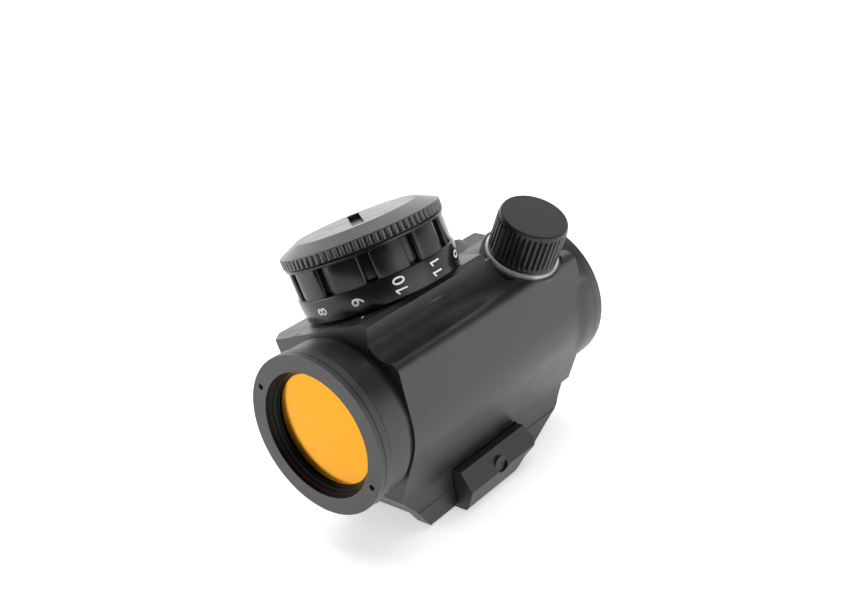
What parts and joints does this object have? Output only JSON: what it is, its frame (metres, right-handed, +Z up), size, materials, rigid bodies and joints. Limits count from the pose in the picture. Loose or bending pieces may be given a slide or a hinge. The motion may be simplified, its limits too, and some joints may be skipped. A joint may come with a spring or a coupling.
{
  "type": "red dot finder",
  "caption": "Compact 1x red dot finder: black tube with amber lens, canted rheostat dial with battery cap, two capped adjusters and a dovetail rail clamp.",
  "frame": {"origin": "middle of the rail seat, straight under the sight line", "axes": "+Z up, sight line along Y with the objective at -Y, +X the user's left"},
  "size_m": [0.0404, 0.064, 0.0554],
  "materials": {
    "body_black": "matte black anodised aluminium",
    "ring_black": "matte black anodised aluminium",
    "dial_black": "satin black anodised aluminium",
    "cap_black": "satin black anodised aluminium",
    "tube_black": "dead black",
    "seal_rubber": "matte",
    "pale_seal": "bright washer",
    "amber_lens": "dichroic coated",
    "clear_lens": "coated clear",
    "steel": "plain steel",
    "cell_steel": "satin",
    "contact_brass": "plain brass",
    "board_green": "solder mask",
    "led_red": "clear red epoxy",
    "screw_black": "black oxide"
  },
  "bodies": {
    "housing": {"main_housing": "body_black", "front_bezel": "ring_black", "bezel_gasket": "seal_rubber", "objective_lens": "amber_lens", "lens_seal": "seal_rubber", "lens_retainer": "ring_black", "rear_window": "clear_lens", "rear_seal": "seal_rubber", "rear_window_ring": "ring_black", "gimbal_pins": "steel", "bias_spring": "steel", "dial_base_ring": "seal_rubber", "dial_clip": "steel", "switch_board": "board_green", "board_screws": "steel", "detent_spring": "steel", "left_adjuster_bush": "contact_brass", "right_adjuster_bush": "contact_brass", "guide_pins": "steel", "jaw_springs": "steel", "screw_washer": "screw_black"},
    "gimbal": {"gimbal_ring": "steel", "tube_pins": "steel"},
    "optical_tube": {"inner_tube": "tube_black", "led_holder": "tube_black", "led_emitter": "led_red"},
    "rheostat": {"rheostat_dial": "dial_black", "switch_wiper": "contact_brass", "battery_contact": "contact_brass", "battery_cell": "cell_steel"},
    "battery_cap_seal": {"battery_cap_seal": "seal_rubber"},
    "battery_cap": {"battery_cap": "cap_black"},
    "detent_ball": {"detent_ball": "steel"},
    "left_cap_seal": {"left_cap_seal": "pale_seal"},
    "left_cap": {"left_adjuster_cap": "cap_black"},
    "left_adjuster": {"left_adjuster_screw": "steel"},
    "left_plunger": {"left_plunger": "steel"},
    "right_cap_seal": {"right_cap_seal": "pale_seal"},
    "right_cap": {"right_adjuster_cap": "cap_black"},
    "right_adjuster": {"right_adjuster_screw": "steel"},
    "right_plunger": {"right_plunger": "steel"},
    "clamp_screw": {"clamp_screw": "screw_black", "screw_clip": "steel"},
    "clamp_jaw": {"clamp_jaw": "body_black"}
  },
  "joints": [
    {"name": "left_tilt", "type": "hinge", "parent": "housing", "child": "gimbal", "pos_m": [0, -0.02, 0.021], "axis": [0.9063, 0, -0.4226], "range_deg": [-0.72, 0.72]},
    {"name": "right_tilt", "type": "hinge", "parent": "gimbal", "child": "optical_tube", "pos_m": [0, -0.02, 0.021], "axis": [0.4226, 0, 0.9063], "range_deg": [-0.72, 0.72]},
    {"name": "dial_turn", "type": "hinge", "parent": "housing", "child": "rheostat", "pos_m": [0, -0.005, 0.021], "axis": [-0.342, 0, 0.9397], "range_deg": [-60, 270]},
    {"name": "battery_cap_lift", "type": "slide", "parent": "rheostat", "child": "battery_cap_seal", "axis": [-0.342, 0, 0.9397], "range_m": [0, 0.00263]},
    {"name": "battery_cap_turn", "type": "hinge", "parent": "battery_cap_seal", "child": "battery_cap", "pos_m": [0, -0.005, 0.021], "axis": [-0.342, 0, 0.9397], "range_deg": [0, 1260]},
    {"name": "detent_press", "type": "slide", "parent": "housing", "child": "detent_ball", "axis": [-0.342, 0, 0.9397], "range_m": [-0.0004, 0], "stiffness_N_per_m": 100, "springref_m": 0.0005},
    {"name": "left_cap_lift", "type": "slide", "parent": "housing", "child": "left_cap_seal", "axis": [0.4226, 0, 0.9063], "range_m": [0, 0.00375]},
    {"name": "left_cap_turn", "type": "hinge", "parent": "left_cap_seal", "child": "left_cap", "pos_m": [0, 0.02, 0.021], "axis": [0.4226, 0, 0.9063], "range_deg": [0, 1800]},
    {"name": "left_adjuster_turn", "type": "hinge", "parent": "housing", "child": "left_adjuster", "pos_m": [0, 0.02, 0.021], "axis": [0.4226, 0, 0.9063], "range_deg": [-360, 360]},
    {"name": "left_plunger_slide", "type": "slide", "parent": "housing", "child": "left_plunger", "axis": [0.4226, 0, 0.9063], "range_m": [-0.0005, 0.0005]},
    {"name": "right_cap_lift", "type": "slide", "parent": "housing", "child": "right_cap_seal", "axis": [-0.9063, 0, 0.4226], "range_m": [0, 0.00375]},
    {"name": "right_cap_turn", "type": "hinge", "parent": "right_cap_seal", "child": "right_cap", "pos_m": [0, 0.02, 0.021], "axis": [-0.9063, 0, 0.4226], "range_deg": [0, 1800]},
    {"name": "right_adjuster_turn", "type": "hinge", "parent": "housing", "child": "right_adjuster", "pos_m": [0, 0.02, 0.021], "axis": [-0.9063, 0, 0.4226], "range_deg": [-360, 360]},
    {"name": "right_plunger_slide", "type": "slide", "parent": "housing", "child": "right_plunger", "axis": [-0.9063, 0, 0.4226], "range_m": [-0.0005, 0.0005]},
    {"name": "clamp_turn", "type": "hinge", "parent": "housing", "child": "clamp_screw", "pos_m": [0, 0.00075, 0.0019], "axis": [-1, 0, 0], "range_deg": [0, 1440]},
    {"name": "jaw_slide", "type": "slide", "parent": "housing", "child": "clamp_jaw", "axis": [1, 0, 0], "range_m": [0, 0.002]}
  ],
  "couplings": [
    {"joint": "battery_cap_turn", "follows": "battery_cap_lift", "rad_per_m": 8377.6},
    {"joint": "left_cap_turn", "follows": "left_cap_lift", "rad_per_m": 8377.6},
    {"joint": "left_adjuster_turn", "follows": "left_plunger_slide", "rad_per_m": 12566},
    {"joint": "left_tilt", "follows": "left_plunger_slide", "rad_per_m": 25},
    {"joint": "right_cap_turn", "follows": "right_cap_lift", "rad_per_m": 8377.6},
    {"joint": "right_adjuster_turn", "follows": "right_plunger_slide", "rad_per_m": 12566},
    {"joint": "right_tilt", "follows": "right_plunger_slide", "rad_per_m": 25},
    {"joint": "clamp_turn", "follows": "jaw_slide", "rad_per_m": 12566}
  ]
}
